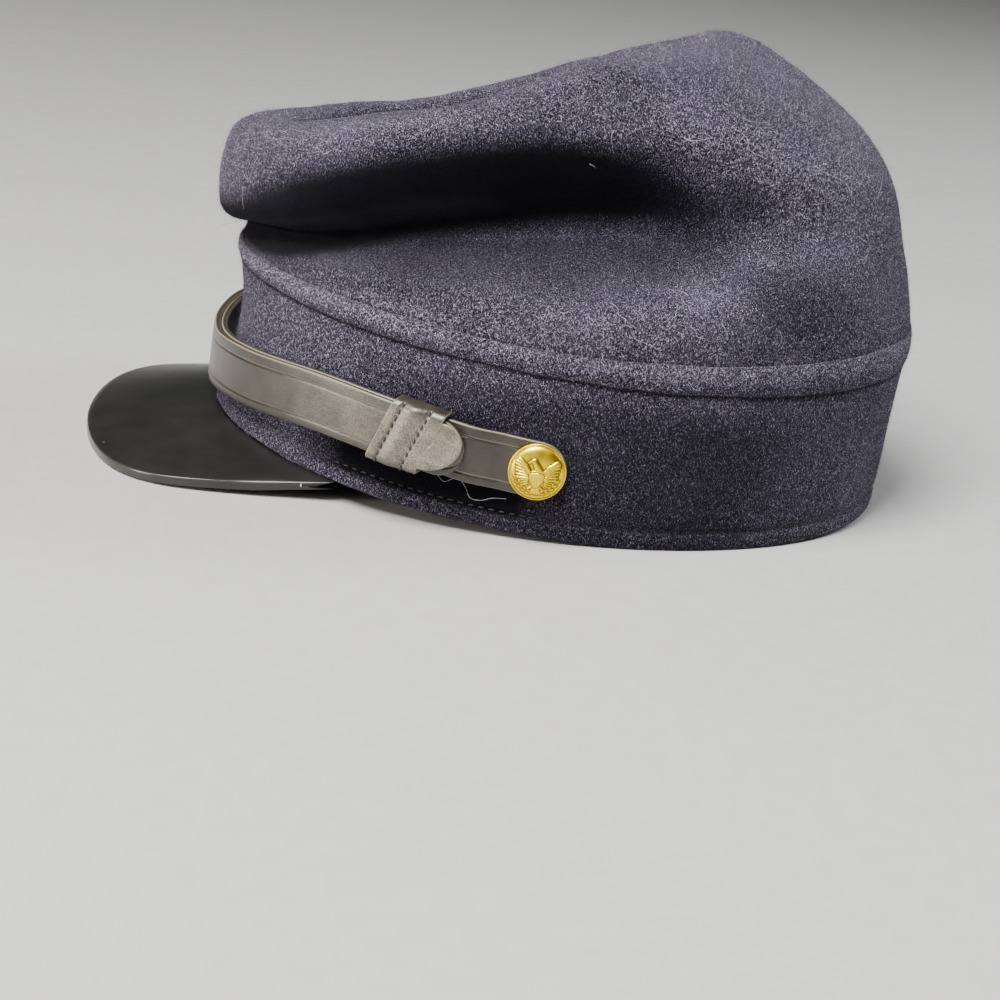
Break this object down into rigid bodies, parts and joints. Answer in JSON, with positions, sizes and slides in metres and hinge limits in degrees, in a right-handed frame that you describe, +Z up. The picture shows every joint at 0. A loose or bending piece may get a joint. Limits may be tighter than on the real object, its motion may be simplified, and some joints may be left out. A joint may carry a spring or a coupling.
{
  "type": "kepi cap",
  "caption": "Soft wool forage cap with a forward-folded crown, round dished top, leather peak and a chin strap on two domed buttons.",
  "frame": {"origin": "on the floor under the middle of the cap's box, the cap standing on its hem and the tip of its peak", "axes": "+Y towards the back of the cap (the peak points along -Y), +X towards the wearer's left, +Z up"},
  "size_m": [0.1738, 0.2432, 0.1358],
  "materials": {
    "wool": "dark navy milled wool with a short raised nap",
    "peak_leather": "smooth black finished leather, soft gloss, a little dusty",
    "strap_leather": "black bridle leather with creased lines and brown cut edges",
    "button_brass": "bright gilt",
    "thread": "waxed sewing thread"
  },
  "bodies": {
    "root": {"band": "wool", "welt": "wool", "crown_side": "wool", "crown_top": "wool", "peak": "peak_leather", "strap_inner": "strap_leather", "strap_outer": "strap_leather", "keeper_left": "strap_leather", "keeper_right": "strap_leather", "button_left": "button_brass", "button_right": "button_brass"}
  },
  "joints": []
}
